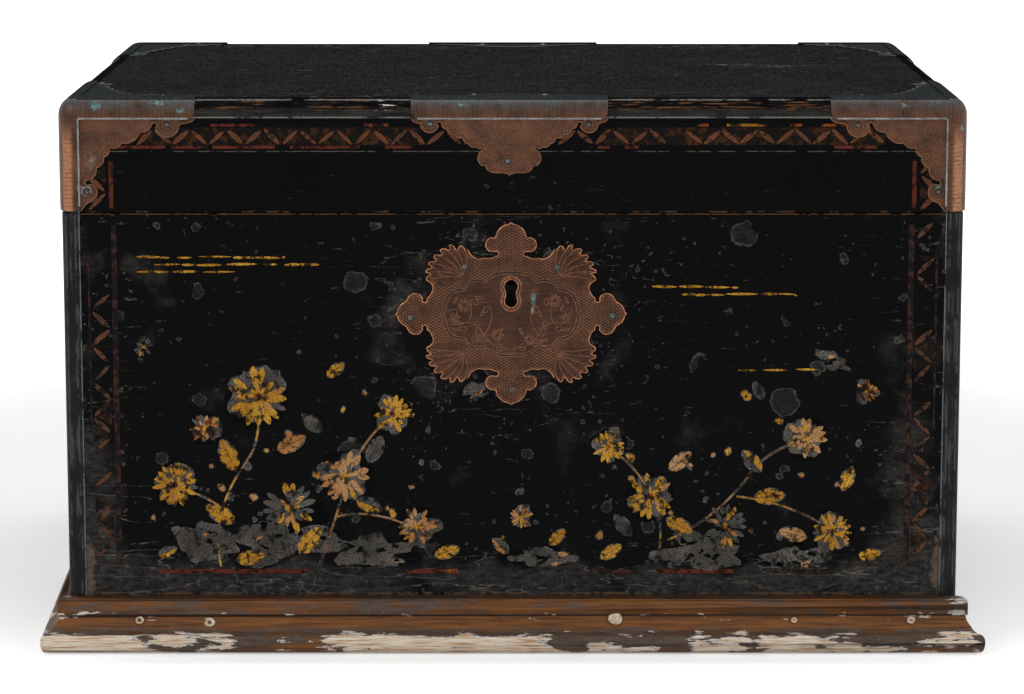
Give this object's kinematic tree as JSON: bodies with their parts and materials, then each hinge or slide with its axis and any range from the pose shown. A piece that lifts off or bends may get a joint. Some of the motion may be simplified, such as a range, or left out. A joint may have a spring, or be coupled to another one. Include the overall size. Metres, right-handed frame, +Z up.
{
  "type": "lacquer chest",
  "caption": "Flat-lidded lacquer coffer with pierced copper mounts, a lobed escutcheon over a hooked-bolt lock, bail handles at the sides and a bare-wood base moulding.",
  "frame": {"origin": "middle of the footprint, on the floor", "axes": "+X along the chest to its right as seen from the front, +Y from the front to the back, +Z up"},
  "size_m": [0.6478, 0.4562, 0.3726],
  "materials": {
    "black_lacquer": "polished black lacquer over softwood, scratched and crazed",
    "inner_lacquer": "thin brown-black lacquer",
    "base_wood": "bare pale wood under worn brown stain",
    "copper_sheet": "engraved sheet copper, darkened, with blue-grey patina",
    "copper_turned": "cast and wrought copper, darkened",
    "iron": "blackened wrought iron"
  },
  "bodies": {
    "case": {"front_board": "black_lacquer", "back_board": "black_lacquer", "left_side_board": "black_lacquer", "right_side_board": "black_lacquer", "bottom_board": "inner_lacquer", "front_left_corner_bead": "black_lacquer", "front_right_corner_bead": "black_lacquer", "back_left_corner_bead": "black_lacquer", "back_right_corner_bead": "black_lacquer", "front_base_moulding": "base_wood", "left_base_moulding": "base_wood", "escutcheon_plate": "copper_sheet", "lock_case": "iron", "lock_cover": "iron", "left_front_rosette": "copper_sheet", "left_back_rosette": "copper_sheet", "right_front_rosette": "copper_sheet", "right_back_rosette": "copper_sheet", "left_front_post": "copper_turned", "left_back_post": "copper_turned", "right_front_post": "copper_turned", "right_back_post": "copper_turned", "left_hinge_case_leaf": "copper_sheet", "left_hinge_pin": "copper_turned", "right_hinge_case_leaf": "copper_sheet", "right_hinge_pin": "copper_turned"},
    "lid": {"lid_panel": "black_lacquer", "lid_front_rim": "black_lacquer", "lid_back_rim": "black_lacquer", "lid_left_rim": "black_lacquer", "lid_right_rim": "black_lacquer", "lid_front_bead": "black_lacquer", "lid_back_bead": "black_lacquer", "lid_left_bead": "black_lacquer", "lid_right_bead": "black_lacquer", "lid_front_left_corner_bead": "black_lacquer", "lid_front_right_corner_bead": "black_lacquer", "lid_back_left_corner_bead": "black_lacquer", "lid_back_right_corner_bead": "black_lacquer", "lid_staple": "iron", "left_hinge_lid_leaf": "copper_sheet", "right_hinge_lid_leaf": "copper_sheet", "front_left_mount": "copper_sheet", "front_right_mount": "copper_sheet", "back_left_mount": "copper_sheet", "back_right_mount": "copper_sheet", "front_centre_mount": "copper_sheet", "back_centre_mount": "copper_sheet"},
    "left_handle": {"left_bail": "copper_turned"},
    "right_handle": {"right_bail": "copper_turned"},
    "bolt": {"lock_bolt": "iron"}
  },
  "joints": [
    {"name": "lid_hinge", "type": "hinge", "parent": "case", "child": "lid", "pos_m": [0.0056, 0.2241, 0.29555], "axis": [-1, 0, 0], "range_deg": [0, 105]},
    {"name": "left_handle_swing", "type": "hinge", "parent": "case", "child": "left_handle", "pos_m": [-0.30577, 0.0046, 0.2145], "axis": [0, 1, 0], "range_deg": [-12, 190]},
    {"name": "right_handle_swing", "type": "hinge", "parent": "case", "child": "right_handle", "pos_m": [0.31687, 0.0046, 0.2145], "axis": [0, -1, 0], "range_deg": [-12, 190]},
    {"name": "bolt_slide", "type": "slide", "parent": "case", "child": "bolt", "axis": [1, 0, 0], "range_m": [0, 0.008]}
  ]
}
